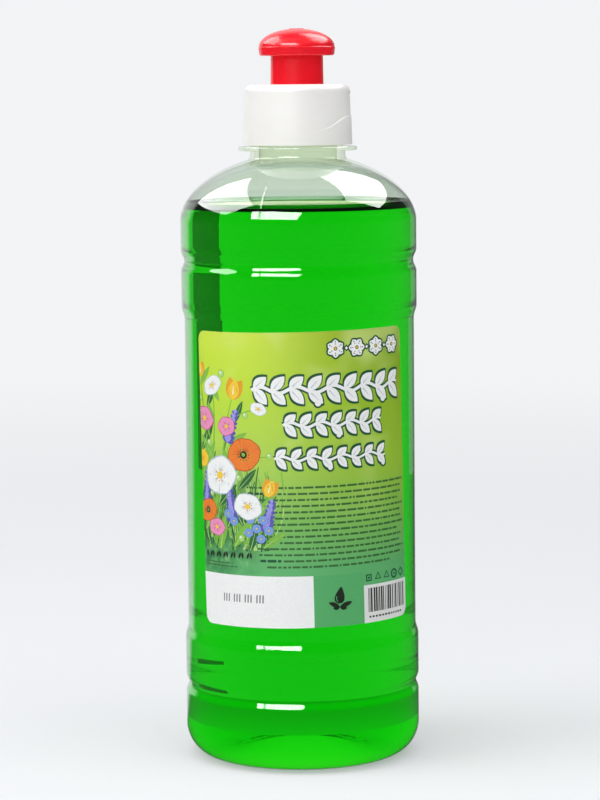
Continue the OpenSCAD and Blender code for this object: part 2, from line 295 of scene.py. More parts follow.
def thin_wall(name, tint, ior, roughness=0.01):
    """A thin clear wall: what is behind it shows unbent, under the gloss of its outer face."""
    material, tree, out = new_material(name)
    nodes, links = tree.nodes, tree.links
    clear = nodes.new("ShaderNodeBsdfTransparent")
    clear.inputs["Color"].default_value = (*tint, 1)
    gloss = nodes.new("ShaderNodeBsdfGlossy")
    gloss.inputs["Roughness"].default_value = roughness
    share = nodes.new("ShaderNodeFresnel")
    share.inputs["IOR"].default_value = ior
    side = nodes.new("ShaderNodeNewGeometry")
    faced = nodes.new("ShaderNodeMath")
    faced.operation = "SUBTRACT"
    faced.inputs[0].default_value = 1
    links.new(side.outputs["Backfacing"], faced.inputs[1])
    amount = nodes.new("ShaderNodeMath")
    amount.operation = "MULTIPLY"
    links.new(share.outputs["Fac"], amount.inputs[0])
    links.new(faced.outputs[0], amount.inputs[1])
    both = nodes.new("ShaderNodeMixShader")
    links.new(amount.outputs[0], both.inputs["Fac"])
    links.new(clear.outputs["BSDF"], both.inputs[1])
    links.new(gloss.outputs["BSDF"], both.inputs[2])
    links.new(both.outputs["Shader"], out.inputs["Surface"])
    return material


def clear_shader(tree, ior, tint=(1, 1, 1)):
    shader = tree.nodes.new("ShaderNodeBsdfPrincipled")
    shader.inputs["Base Color"].default_value = (*tint, 1)
    shader.inputs["Roughness"].default_value = 0.0
    shader.inputs["IOR"].default_value = ior
    shader.inputs["Transmission Weight"].default_value = 1
    return shader


def clear_liquid(name, ior, passes, density, tint=(1, 1, 1)):
    """A clear coloured liquid. passes is the colour that is taken least, over 1 / density metres."""
    material, tree, out = new_material(name)
    shader = clear_shader(tree, ior, tint)
    tree.links.new(shader.outputs["BSDF"], out.inputs["Surface"])
    absorbing(tree, out, passes, density)
    return material


def absorbing(tree, out, passes, density):
    inside = tree.nodes.new("ShaderNodeVolumeAbsorption")
    inside.inputs["Color"].default_value = (*passes, 1)
    inside.inputs["Density"].default_value = density
    tree.links.new(inside.outputs["Volume"], out.inputs["Volume"])


def liquid_top(name, ior, passes, density):
    """The liquid's surface under its thin pale film of foam."""
    material, tree, out = new_material(name)
    nodes, links = tree.nodes, tree.links
    clear = clear_shader(tree, ior)
    foam = nodes.new("ShaderNodeBsdfDiffuse")
    froth = noise(tree, 160, 5)
    tone = ramp(tree, froth, (0.35, (0.8, 0.95, 0.5)), (0.65, (0.93, 0.99, 0.76)))
    links.new(tone, foam.inputs["Color"])
    cover = nodes.new("ShaderNodeMapRange")
    cover.inputs["From Min"].default_value = 0.35
    cover.inputs["From Max"].default_value = 0.65
    cover.inputs["To Min"].default_value = 0.75
    cover.inputs["To Max"].default_value = 0.97
    links.new(froth, cover.inputs["Value"])
    both = nodes.new("ShaderNodeMixShader")
    links.new(cover.outputs["Result"], both.inputs["Fac"])
    links.new(clear.outputs["BSDF"], both.inputs[1])
    links.new(foam.outputs["BSDF"], both.inputs[2])
    links.new(both.outputs["Shader"], out.inputs["Surface"])
    absorbing(tree, out, passes, density)
    return material


# The bottle

FRONT = math.radians(-90)
SEAM = math.radians(-107.8)
SEAM_HEIGHT = 0.12
SEAM_WIDTH = math.radians(0.8)


def around(count, seams=()):
    """Angles round the axis, closer together at each seam."""
    angles = [2 * math.pi * i / count - math.pi for i in range(count)]
    for seam in seams:
        near = [seam + SEAM_WIDTH * k for k in (-1.5, -1, -0.5, -0.2, 0, 0.2, 0.5, 1, 1.5)]
        near = [(a + math.pi) % (2 * math.pi) - math.pi for a in near]
        lo, hi = min(near), max(near)
        angles = [a for a in angles if not lo - 0.005 < a < hi + 0.005] + near
    return sorted(angles)


def seam_bulge(angle):
    """Height of the parting line's ridge at an angle."""
    high = 0
    for seam in (SEAM, SEAM + math.pi):
        off = (angle - seam + math.pi) % (2 * math.pi) - math.pi
        high += SEAM_HEIGHT * math.exp(-((off / SEAM_WIDTH) ** 2))
    return high


def bottle_shell():
    fillet_r = NECK_R + NECK_FILLET
    neck_z = dome_z(NECK_R, 0, 0)
    ring_z = neck_z + NECK_H
    ring_top = ring_z + RING_T
    lip_z = ring_top + FINISH_H
    edge = RING_T * 0.4
    outer = base_path(0, 0) + side_path(0) + dome_path(0, 0, fillet_r)
    dome_end = len(outer) - 1
    thin_end = next(i for i, p in enumerate(outer) if p[1] > SHOULDER_Z and p[0] < 17)
    outer += bend((fillet_r, dome_z(fillet_r, 0, 0)), (NECK_R, neck_z), (NECK_R, neck_z + NECK_FILLET), 8)
    outer.append((NECK_R, ring_z - 0.02))
    outer += arc(RING_R - edge, ring_z + edge, edge, -90, 0, 6)
    outer += arc(RING_R - edge, ring_top - edge, edge, 0, 90, 6)
    outer.append((FINISH_R + 0.3, ring_top))
    outer.append((FINISH_R, ring_top + 0.3))
    thread_foot = ring_top + 1.5
    thread_head = lip_z - 1.5
    outer += [(FINISH_R, z) for z in steps(thread_foot, thread_head, 70)]
    outer += arc(FINISH_R - 0.5, lip_z - 0.5, 0.5, 0, 90, 5)
    outer.append((BORE_R + 0.3, lip_z))
    outer_end = len(outer)
    inner = base_path(WALL_SHOWN, WALL_SHOWN) + side_path(WALL_SHOWN)
    inner += dome_path(WALL_SHOWN, CROWN_WALL, BORE_R)
    inner.append((BORE_R, lip_z - 0.3))
    inner.reverse()
    path = outer + inner

    def thread(angle, z):
        """How far the thread stands out at an angle and height."""
        if not thread_foot < z < thread_head:
            return 0
        turn = (z - thread_foot) / THREAD_PITCH - (angle - FRONT) / (2 * math.pi)
        off = abs(turn - round(turn)) * THREAD_PITCH
        fade = min(1, (z - thread_foot) / 1.2, (thread_head - z) / 1.2)
        return (THREAD_R - FINISH_R) * fade * ease((1.15 - off) / 0.6)

    def bulge(angle, r, z, i):
        if i >= outer_end:
            return 0
        if z > ring_top + 0.5:
            return thread(angle, z)
        if z > HEEL_H * 0.3 and i <= dome_end + 8:
            return seam_bulge(angle)
        return 0

    def slot_of(i):
        r, z = path[i]
        if i >= thin_end if i < outer_end else r < 16 and z > FILL_Z:
            return 2
        if z > FILL_Z:
            return 0
        return 1 if i < outer_end else 3

    shell = revolve("bottle_shell", path, around(180, (SEAM, SEAM + math.pi)), bulge, slot_of)
    shell.data.materials.append(thin_wall("pet_thin_wall", (0.915, 0.955, 0.91), 1.85))
    shell.data.materials.append(thin_wall("pet_wet_wall", (1, 1, 1), 1.57))
    shell.data.materials.append(thin_wall("pet_neck", (0.91, 0.955, 0.865), 1.7))
    shell.data.materials.append(thin_wall("pet_inner_wall", (1, 1, 1), 1.16))
    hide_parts("bottle")
    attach(shell, "bottle")
    return shell


SOAP_SKIN = 0.17
SOAP_IOR = 1.36
SOAP_COLOUR = (0.063, 0.922, 0.0)
SOAP_DENSITY = 95
FOOT_IOR = 1.01
# How far in from the wall the brim's painted shade reaches over the surface
SHADED_BRIM_REACH = 1.6
MENISCUS_H = 1.7
MENISCUS_REACH = 1.2


def soap():
    """The liquid, with its own materials on the foot, the brim and the surface. The brim's darker tint is
    painted shade for the dark line of the meniscus. The foot hardly bends light, so that no ray is
    caught in it and shows black."""
    path = base_path(SOAP_SKIN, SOAP_SKIN) + side_path(SOAP_SKIN)
    wall_r = dome_r(FILL_Z + MENISCUS_H, SOAP_SKIN, SOAP_SKIN)
    path += [(dome_r(z, SOAP_SKIN, SOAP_SKIN), z) for z in steps(SHOULDER_Z, FILL_Z + MENISCUS_H, 24)[1:]]
    for r in [wall_r - 0.05 * 1.22 ** k for k in range(32) if wall_r - 0.05 * 1.22 ** k > 1]:
        path.append((r, FILL_Z + MENISCUS_H * math.exp(-(wall_r - r) / MENISCUS_REACH)))
    path.append((0, FILL_Z))
    top = next(i for i, p in enumerate(path) if p[1] > FILL_Z + MENISCUS_H - 0.01)

    heel = next(i for i, p in enumerate(path) if p[1] > HEEL_H)
    brim = next(i for i, p in enumerate(path) if p[1] > FILL_Z - 0.3)

    # Slot 3, the brim, is the side just under the fill line and the surface's rim near the wall: painted shade for the
    # meniscus line
    def slot_of(i):
        if i >= brim:
            return 3 if i < top or path[i][0] > wall_r - SHADED_BRIM_REACH else 2
        return 1 if i < heel else 0

    liquid = revolve("soap_body", path, around(192), slot_of=slot_of)
    dye = (SOAP_COLOUR, SOAP_DENSITY)
    # The brim's tint is painted shade: it darkens the liquid where the meniscus shows a dark line
    foot_tint, meniscus_shade_tint = (0.06, 0.9, 0.02), (0.75, 0.95, 0.75)
    liquid.data.materials.append(clear_liquid("green_soap", SOAP_IOR, *dye))
    liquid.data.materials.append(clear_liquid("soap_heel", FOOT_IOR, *dye, foot_tint))
    liquid.data.materials.append(liquid_top("soap_top", SOAP_IOR, *dye))
    liquid.data.materials.append(clear_liquid("soap_brim_painted_shade", SOAP_IOR, *dye, meniscus_shade_tint))
    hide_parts("liquid_soap")
    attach(liquid, "bottle")
    return liquid


def bubbles():
    """A few small bubbles that float against the wall."""
    rng = random.Random(5)
    flat = bmesh.new()
    wall_r = dome_r(FILL_Z, SOAP_SKIN, SOAP_SKIN)
    for i in range(26):
        size = rng.uniform(0.2, 0.62)
        angle = FRONT + math.radians(rng.uniform(-175, 175))
        r = wall_r - 1.2 - size - rng.random() ** 2 * 9
        z = FILL_Z + MENISCUS_H * math.exp(-(wall_r - r) / MENISCUS_REACH) + size * 0.4
        place = Matrix.Translation((r * math.cos(angle) * MM, r * math.sin(angle) * MM, z * MM))
        bmesh.ops.create_icosphere(flat, subdivisions=3, radius=size * MM, matrix=place)
    mesh = bpy.data.meshes.new("bubbles")
    flat.to_mesh(mesh)
    flat.free()
    mesh.polygons.foreach_set("use_smooth", [True] * len(mesh.polygons))
    piece = bpy.data.objects.new("bubbles", mesh)
    bpy.context.scene.collection.objects.link(piece)
    piece.data.materials.append(thin_wall("bubble_skin", (0.9, 0.97, 0.86), 1.5))
    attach(piece, "bottle")
    return piece


# Closure

CAP_FOOT_R = 15.1
CAP_HEAD_R = 14.65
CAP_EDGE_R = 2.0
DECK_OVER_LIP = 2.4
RELIEF = 0.24


def cap_relief(material):
    """The raised swoosh that the closure's skirt carries on its right side: a skin whose outer
    face stands out of the skirt under a wave, and lies inside the skirt elsewhere."""
    ring_top = dome_z(NECK_R, 0, 0) + NECK_H + RING_T
    foot_z = ring_top + CAP_GAP
    head_z = ring_top + FINISH_H + DECK_OVER_LIP - CAP_EDGE_R
    low, high = foot_z + 0.02, head_z
    columns, rows = 150, 110

    def skirt(z):
        return CAP_FOOT_R + (CAP_HEAD_R - CAP_FOOT_R) * (z - foot_z) / (head_z - foot_z)

    def out(turn, z):
        wave = foot_z + 3.7 + 3.9 * ease((turn - 18) / 52) * ease((172 - turn) / 62)
        under = 1 - ease((z - wave) / 0.55)
        over = ease((z - head_z + 0.75) / 0.45) * ease((turn - 48) / 26) * ease((138 - turn) / 26)
        share = max(under * ease((turn - 6) / 34) * ease((176 - turn) / 26), over)
        return RELIEF * share - 0.05

    verts, faces = [], []
    for i in range(columns + 1):
        turn = 2 + 176 * i / columns
        angle = FRONT + math.radians(turn)
        for outside in (True, False):
            for k in range(rows + 1):
                z = low + (high - low) * k / rows
                r = skirt(z) + (out(turn, z) if outside else -0.4)
                verts.append((r * math.cos(angle) * MM, r * math.sin(angle) * MM, z * MM))
    step = 2 * (rows + 1)
    inner = rows + 1
    for i in range(columns):
        a, b = i * step, (i + 1) * step
        for k in range(rows):
            faces.append((a + k, b + k, b + k + 1, a + k + 1))
            faces.append((a + inner + k, a + inner + k + 1, b + inner + k + 1, b + inner + k))
        faces.append((a, a + inner, b + inner, b))
        faces.append((a + rows, b + rows, b + inner + rows, a + inner + rows))
    last = columns * step
    for k in range(rows):
        faces.append((k, k + 1, inner + k + 1, inner + k))
        faces.append((last + k, last + inner + k, last + inner + k + 1, last + k + 1))
    skin = mesh_object("cap_relief", verts, faces, sharp=50)
    skin.data.materials.append(material)
    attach(skin, "closure")
    return skin


def dress_closure():
    white = plastic("white_closure", (0.9, 0.875, 0.84), 0.34, subsurface=0.15)
    red = plastic("red_spout", (0.92, 0.006, 0.018), 0.22, subsurface=0.05)
    foam = plastic("seal_foam", (0.9, 0.9, 0.88), 0.8, speckle=400, bump=0.3)
    for node, material in (("cap_base", white), ("spout", red), ("neck_seal", foam)):
        cad = frame["nodes"][node]
        cad.data.materials.clear()
        cad.data.materials.append(material)
        cad.data.polygons.foreach_set("use_smooth", [True] * len(cad.data.polygons))
        cad.data.set_sharp_from_angle(angle=math.radians(28))
    cap_relief(white)


# Label

FILM_IN = PANEL_R + 0.05
FILM_OUT = FILM_IN + 0.12
LABEL_TURN = math.radians(2)
LABEL_LEAN = math.radians(1)
CORNER_R = 2.5
STRIP = 1.2

INKS = {
    "white": (0.86, 0.87, 0.85),
    "outline": (0.004, 0.095, 0.035),
    "fine": (0.035, 0.15, 0.03),
    "field": (0.085, 0.42, 0.13),
    "black": (0.012, 0.022, 0.012),
    "pale": (0.74, 0.75, 0.72),
    "grey": (0.2, 0.2, 0.21),
    "leaf": (0.2, 0.5, 0.05),
    "pale_leaf": (0.42, 0.68, 0.2),
    "deep_leaf": (0.02, 0.15, 0.035),
    "violet": (0.1, 0.09, 0.45),
    "lilac": (0.32, 0.3, 0.75),
    "pink": (0.8, 0.28, 0.5),
    "rose": (0.55, 0.05, 0.2),
    "yellow": (0.9, 0.6, 0.03),
    "amber": (0.8, 0.36, 0.01),
    "orange": (0.83, 0.2, 0.015),
    "rust": (0.45, 0.06, 0.01),
    "petal_shade": (0.46, 0.55, 0.6),
    "sky": (0.18, 0.36, 0.75),
}
INK_NAMES = list(INKS)


def on_label(s, z, r):
    """Place, in metres, of a point s across from the label's middle and z up from its foot."""
    x = FILM_OUT * math.sin(s / FILM_OUT)
    z -= LABEL_H / 2
    across = x * math.cos(LABEL_LEAN) - z * math.sin(LABEL_LEAN)
    up = x * math.sin(LABEL_LEAN) + z * math.cos(LABEL_LEAN)
    angle = FRONT + LABEL_TURN + math.asin(across / FILM_OUT)
    z_mid = LABEL_Z + LABEL_H / 2
    return (r * math.cos(angle) * MM, r * math.sin(angle) * MM, (z_mid + up) * MM)


def plates(name, shapes, under_r):
    """Wraps flat shapes on the label as thin closed plates. Each shape is an ink's number, its
    height over the film and an outline."""
    flat = bmesh.new()
    level = flat.faces.layers.float.new("level")
    for ink, height, outline in shapes:
        area = sum(a[0] * b[1] - b[0] * a[1] for a, b in zip(outline, outline[1:] + outline[:1]))
        if area < 0:
            outline = outline[::-1]
        face = flat.faces.new([flat.verts.new((s, z, 0)) for s, z in outline])
        face.material_index = ink
        face[level] = height
    flat.normal_update()
    bmesh.ops.triangulate(flat, faces=flat.faces[:])

    def cut(point, normal, clear):
        parts = flat.verts[:] + flat.edges[:] + flat.faces[:]
        bmesh.ops.bisect_plane(
            flat, geom=parts, dist=1e-5, plane_co=point, plane_no=normal, clear_outer=clear
        )

    half = LABEL_W / 2
    cut((half, 0, 0), (1, 0, 0), True)
    cut((-half, 0, 0), (-1, 0, 0), True)
    cut((0, LABEL_H, 0), (0, 1, 0), True)
    cut((0, 0, 0), (0, -1, 0), True)
    for k in range(-int(half / STRIP), int(half / STRIP) + 1):
        cut((k * STRIP, 0, 0), (1, 0, 0), False)
    flat.verts.index_update()
    verts, faces, slots = [], [], []
    for vert in flat.verts:
        s, z = vert.co.x, vert.co.y
        height = vert.link_faces[0][level] if vert.link_faces else 0
        verts += [on_label(s, z, FILM_OUT + height), on_label(s, z, under_r)]
    for face in flat.faces:
        ring = [v.index * 2 for v in face.verts]
        faces += [tuple(ring), tuple(i + 1 for i in reversed(ring))]
        slots += [face.material_index] * 2
        for loop in face.loops:
            if len(loop.edge.link_faces) == 1:
                a, b = loop.vert.index * 2, loop.link_loop_next.vert.index * 2
                faces.append((b, a, a + 1, b + 1))
                slots.append(face.material_index)
    flat.free()
    return mesh_object(name, verts, faces, slots)


def placed(points, s, z, angle=0.0, size=1.0, squash=1.0, tilt=0.0):
    """Turns an outline clockwise by an angle in degrees, flattens it along its tilt and moves it."""
    a, t = math.radians(angle), math.radians(tilt)
    out = []
    for x, y in points:
        x, y = x * math.cos(a) + y * math.sin(a), -x * math.sin(a) + y * math.cos(a)
        u, v = x * math.cos(t) + y * math.sin(t), (-x * math.sin(t) + y * math.cos(t)) * squash
        across = u * math.cos(t) - v * math.sin(t)
        up = u * math.sin(t) + v * math.cos(t)
        out.append((s + size * across, z + size * up))
    return out


def blade(length, width, fullness=1.0, n=8, curve=0.0):
    """Pointed leaf or petal from (0, 0) upwards. Fullness over 1 puts its widest part higher."""
    right = [
        (width / 2 * math.sin(math.pi * t ** fullness) ** 0.8 + curve * t * t, length * t)
        for t in steps(0.04, 0.98, n)
    ]
    left = [
        (-width / 2 * math.sin(math.pi * t ** fullness) ** 0.8 + curve * t * t, length * t)
        for t in steps(0.98, 0.04, n)
    ]
    return [(0, 0)] + right + [(curve, length)] + left


def disc(r, n=14):
    return [(r * math.cos(2 * math.pi * i / n), r * math.sin(2 * math.pi * i / n)) for i in range(n)]


def rounded(left, right, foot, head, r, n=4):
    corners = (
        (right - r, head - r, 0), (left + r, head - r, 90),
        (left + r, foot + r, 180), (right - r, foot + r, 270),
    )
    return [p for x, z, a in corners for p in arc(x, z, r, a, a + 90, n)]


def stroke(points, start, end):
    """Tapered ribbon along a row of points."""
    left, right = [], []
    last = len(points) - 1
    for i, (x, y) in enumerate(points):
        ax, ay = points[max(i - 1, 0)]
        bx, by = points[min(i + 1, last)]
        span = math.hypot(bx - ax, by - ay) or 1
        w = (start + (end - start) * i / last) / 2
        left.append((x - (by - ay) / span * w, y + (bx - ax) / span * w))
        right.append((x + (by - ay) / span * w, y - (bx - ax) / span * w))
    return left + right[::-1]


def bowed(a, b, bow, n=9):
    """Points on a smooth bow from a to b that stands bow off the straight line."""
    span = math.hypot(b[0] - a[0], b[1] - a[1]) or 1
    nx, ny = -(b[1] - a[1]) / span, (b[0] - a[0]) / span
    out = []
    for t in steps(0, 1, n):
        off = bow * 4 * t * (1 - t)
        out.append((a[0] + (b[0] - a[0]) * t + nx * off, a[1] + (b[1] - a[1]) * t + ny * off))
    return out


class Print:
    """The label's print, one list of shapes from the lowest layer up."""

    def __init__(self):
        self.shapes = []
        self.rng = random.Random(11)

    def lay(self, ink, height, outline):
        self.shapes.append((INK_NAMES.index(ink), height, outline))

    def stem(self, a, b, bow, width, ink="leaf", height=0.02):
        self.lay(ink, height, stroke(bowed(a, b, bow), width, width * 0.35))

    def leaf(self, s, z, angle, length, width, ink="leaf", vein="pale_leaf", height=0.024, curve=0.0):
        self.lay(ink, height, placed(blade(length, width, 0.9, 8, curve), s, z, angle))
        vein_line = [(curve * t * t, length * t) for t in steps(0.04, 0.9, 6)]
        self.lay(vein, height + 0.004, placed(stroke(vein_line, width * 0.1, 0.03), s, z, angle))

    def blossom(self, s, z, r, count, turn, body, shade, heart, squash=1.0, tilt=0.0, height=0.034):
        width = 2 * r * math.sin(math.pi / count) * 0.98
        for k in range(count):
            angle = turn + 360 * k / count
            at = (s, z, angle, 1.0, squash, tilt)
            lift = height + 0.002 * (k % 2)
            self.lay(shade, lift - 0.004, placed(blade(r * 1.05, width * 1.1, 1.7, 9), *at))
            self.lay(body, lift, placed(blade(r, width * 0.93, 1.7, 9), *at))
            for lean in (-0.14, 0, 0.14):
                streak = stroke([(0, r * 0.2), (lean * r * 0.6, r * 0.4), (lean * r * 1.2, r * 0.62)], r * 0.045, 0.02)
                self.lay(shade, lift + 0.004, placed(streak, *at))
        self.lay(heart, height + 0.009, placed(disc(r * 0.2), s, z, 0, 1, squash, tilt))
        for k in range(9):
            a = 2 * math.pi * (k + 0.5) / 9
            dot = (r * 0.3 * math.cos(a), r * 0.3 * math.sin(a))
            spot = placed([dot], s, z, 0, 1, squash, tilt)[0]
            self.lay("amber", height + 0.011, placed(disc(r * 0.04, 8), *spot))

    def poppy(self, s, z, r, turn, squash=0.85, height=0.036):
        for k, (angle, ink) in enumerate(((0, "rust"), (90, "orange"), (180, "orange"), (270, "rust"))):
            at = (s, z, turn + angle, 1.0, squash, 20)
            lift = height + 0.002 * k
            self.lay("rust", lift - 0.002, placed(blade(r * 1.04, r * 1.5, 1.9, 12), *at))
            self.lay("orange", lift, placed(blade(r, r * 1.4, 1.9, 12), *at))
            for lean in (-0.3, -0.1, 0.1, 0.3):
                fold = stroke([(lean * r * 0.3, r * 0.25), (lean * r * 1.1, r * 0.82)], r * 0.03, 0.02)
                self.lay("amber" if ink == "orange" else "rust", lift + 0.001, placed(fold, *at))
        self.lay("black", height + 0.009, placed(disc(r * 0.22), s, z))
        self.lay("leaf", height + 0.011, placed(disc(r * 0.11, 10), s, z))
        for k in range(12):
            a = 2 * math.pi * k / 12
            self.lay("black", height + 0.011, placed(disc(r * 0.035, 6), s + r * 0.33 * math.cos(a), z + r * 0.3 * math.sin(a)))

    def spike(self, s, z, length, angle, height=0.03):
        """Stem with whorls of small violet flowers that get smaller upwards."""
        a = math.radians(angle)
        tip = (s + length * math.sin(a), z + length * math.cos(a))
        self.stem((s, z), tip, 0.6, 0.45, "deep_leaf")
        rows = int(length * 0.62 / 1.25)
        for i in range(rows):
            t = 0.38 + 0.62 * i / rows
            x, y = s + (tip[0] - s) * t, z + (tip[1] - z) * t
            size = 2.1 * (1.15 - 0.6 * i / rows)
            for k, (lean, ink) in enumerate(((-62, "violet"), (62, "violet"), (-24, "lilac"), (26, "violet"), (2, "lilac"))):
                self.lay(ink, height + 0.002 * k, placed(blade(size, size * 0.55, 1.3, 5), x, y, angle + lean + self.rng.uniform(-9, 9)))

    def tulip(self, s, z, size, angle, height=0.034):
        self.lay("amber", height, placed(blade(size, size * 0.62, 0.8, 9, -size * 0.16), s - size * 0.02, z, angle - 8))
        self.lay("amber", height, placed(blade(size, size * 0.62, 0.8, 9, size * 0.16), s + size * 0.02, z, angle + 8))
        self.lay("yellow", height + 0.003, placed(blade(size * 0.94, size * 0.56, 0.8, 9), s, z, angle))
        self.lay("white", height + 0.005, placed(stroke([(-0.02, size * 0.25), (-0.05 * size, size * 0.7)], size * 0.06, 0.03), s, z, angle))

    def berry(self, s, z, r, ink="pale_leaf", height=0.03):
        self.lay("leaf", height - 0.004, placed(disc(r * 1.18, 12), s, z))
        self.lay(ink, height, placed(disc(r, 12), s, z))
        self.lay("white", height + 0.003, placed(disc(r * 0.32, 8), s - r * 0.25, z + r * 0.3))

    def edged(self, outlines, grown):
        """White shapes with a dark green edge round them."""
        for outline in grown:
            self.lay("outline", 0.02, outline)
        for outline in outlines:
            self.lay("white", 0.027, outline)

    def garland(self, left, right, z, h, count):
        """Wavy white twig with leaves to both sides, with the weight of a line of large type."""
        edge = 0.5
        pitch = (right - left) / count

        def wave(s):
            return z + h * 0.5 + h * 0.1 * math.sin((s - left) / pitch * math.pi)

        twig = [(s, wave(s)) for s in steps(left, right - pitch * 0.2, count * 5)]
        body, grown = [stroke(twig, h * 0.11, h * 0.09)], [stroke(twig, h * 0.11 + 2 * edge, h * 0.09 + 2 * edge)]
        for i in range(count):
            s = left + pitch * (i + 0.12)
            for lean, length in ((38, 0.62), (128, 0.6)) if i % 2 else ((44, 0.56), (134, 0.64)):
                length *= h
                body.append(placed(blade(length, h * 0.34, 0.95, 8, h * 0.05), s, wave(s), lean))
                grown.append(placed(blade(length + 1.7 * edge, h * 0.34 + 1.9 * edge, 0.95, 8, h * 0.05), s - edge * 0.6, wave(s), lean))
        for i in range(1, count, 2):
            s = left + pitch * (i + 0.62)
            up = 0.34 if i % 4 == 1 else -0.34
            body.append(placed(disc(h * 0.1, 12), s, wave(s) + up * h))
            grown.append(placed(disc(h * 0.1 + edge, 12), s, wave(s) + up * h))
        self.edged(body, grown)
        for outline in body[1:]:
            if len(outline) > 14:
                foot, tip = outline[0], outline[len(outline) // 2]
                vein = [(foot[0] + (tip[0] - foot[0]) * t, foot[1] + (tip[1] - foot[1]) * t) for t in (0.18, 0.78)]
                self.lay("petal_shade", 0.031, stroke(vein, h * 0.035, 0.04))

    def rosettes(self, left, right, z, r, count):
        """Row of small white flowers with dotted petals."""
        pitch = (right - left) / (count - 1)
        for i in range(count):
            s = left + pitch * i
            petals = [blade(r, r * 0.72, 1.5, 7)] * 6
            self.edged(
                [placed(p, s, z, 60 * k + 30 * (i % 2)) for k, p in enumerate(petals)],
                [placed(blade(r + 0.45, r * 0.72 + 0.8, 1.5, 7), s, z, 60 * k + 30 * (i % 2)) for k in range(6)],
            )
            for k in range(6):
                a = math.radians(60 * k + 30 * (i % 2))
                for t, dot in ((0.5, 0.16), (0.74, 0.2)):
                    self.lay("outline", 0.031, placed(disc(dot, 7), s + r * t * math.sin(a), z + r * t * math.cos(a)))
            self.lay("outline", 0.031, placed(disc(r * 0.22, 10), s, z))
            self.lay("yellow", 0.035, placed(disc(r * 0.13, 10), s, z))
            if i < count - 1:
                self.edged([placed(disc(0.45, 4), s + pitch / 2, z)], [placed(disc(0.95, 4), s + pitch / 2, z)])

    def dashes(self, left, right, z, h, shortest, longest, gap, ink="fine", height=0.02):
        """Row of short bars, in place of a line of fine print."""
        s = left
        while s < right - shortest:
            length = min(self.rng.uniform(shortest, longest), right - s)
            self.lay(ink, height, rounded(s, s + length, z, z + h, h * 0.28, 2))
            s += length + gap

    def foot_band(self):
        half, m = LABEL_W / 2, CORNER_R
        date = [(-half, 14.3)] + arc(-half + m, m, m, 180, 270, 5) + [(1.6, 0), (1.6, 14.3)]
        self.lay("white", 0.015, date)
        self.lay("field", 0.015, [(1.6, 0), (16.2, 0), (16.2, 14.3), (1.6, 14.3)])
        code = [(16.2, 0)] + arc(half - m, m, m, 270, 360, 5) + [(half, 10.5), (16.2, 10.5)]
        self.lay("pale", 0.015, code)
        # Even marks in fours, the fourth left out
        for i in range(16):
            if i % 4 < 3:
                self.lay("grey", 0.02, placed(rounded(-0.2, 0.2, 0, 2.3, 0.18, 2), -25.2 + i * 0.9, 6.8, 3))
        s = 17.6
        while s < half - 1.6:
            width = self.rng.choice((0.2, 0.2, 0.38, 0.56))
            self.lay("black", 0.02, [(s, 2.9), (s + width, 2.9), (s + width, 9.6), (s, 9.6)])
            s += width + self.rng.choice((0.2, 0.3, 0.46))
        self.dashes(17.8, half - 2.4, 1.3, 0.55, 0.5, 0.9, 0.4, "black")
        self.drop(8.8, 7.6, 5.4)
        self.dashes(-32, -21.6, 17.3, 0.34, 0.5, 2.0, 0.3, "fine")
        self.dashes(-32, -20.2, 16.4, 0.34, 0.5, 2.2, 0.3, "fine")
        for i in range(13):
            self.lay("black", 0.02, placed(blade(1.9, 0.72, 1, 5), -31.6 + i * 1.32, 18.7 + 0.02 * i, 22 if i % 2 else -4))

    def drop(self, s, z, h):
        """A drop on two leaves, in near black."""
        outline = []
        for i in range(20):
            a = 2 * math.pi * i / 20
            pull = 0.5 * (1 + math.cos(a)) ** 2.2 / 4.6
            outline.append((h * 0.3 * math.sin(a) * (1 - 0.62 * pull * 2), h * (0.3 * math.cos(a) + 0.34 * pull * 1.6)))
        self.lay("black", 0.02, placed(outline, s, z + h * 0.05, 10))
        shine = bowed((-h * 0.17, h * 0.1), (-h * 0.06, -h * 0.16), -h * 0.05, 5)
        self.lay("field", 0.026, placed(stroke(shine, h * 0.05, h * 0.03), s, z, 10))
        for angle, length in ((72, 0.72), (-66, 0.64), (104, 0.4), (-100, 0.36)):
            self.lay("black", 0.022, placed(blade(h * length, h * 0.24, 0.95, 7), s, z - h * 0.42, angle))

    def marks(self):
        """Row of small plain signs over the striped field: square, triangles, ring and lozenge."""
        z = 12.5
        for k, (kind, turn) in enumerate(((4, 45), (3, 90), (3, 90), (24, 0), (4, 0))):
            s = 17.9 + k * 3.2
            outer, inner = [], []
            for i in range(kind):
                a = 2 * math.pi * i / kind + math.radians(turn)
                outer.append((1.35 * math.cos(a), 1.35 * math.sin(a)))
                inner.append((0.85 * math.cos(a), 0.85 * math.sin(a)))
            for i in range(kind):
                j = (i + 1) % kind
                self.lay("outline", 0.02, placed([outer[i], outer[j], inner[j], inner[i]], s, z))
            if k in (0, 3):
                self.lay("outline", 0.02, placed(disc(0.35, 8), s, z))

    def fine_print(self):
        z = 38.4
        for i in range(14):
            left = -16.6 + (i % 5 == 3) * 1.6 + 0.3 * i
            right = 32.4 - (0, 1.2, 0.5, 2.6, 0.2, 1.5, 0.9, 0.1, 3.2, 0.8, 2.2, 0.4, 1.6, 6.5)[i]
            bold = i in (1, 5, 9, 12)
            self.dashes(left, left + (6 if bold else 0), z - 0.04, 0.72, 0.9, 2.8, 0.36, "outline")
            self.dashes(left + (6.6 if bold else 0), right, z, 0.56, 0.5, 3.0, 0.38)
            z -= 1.68

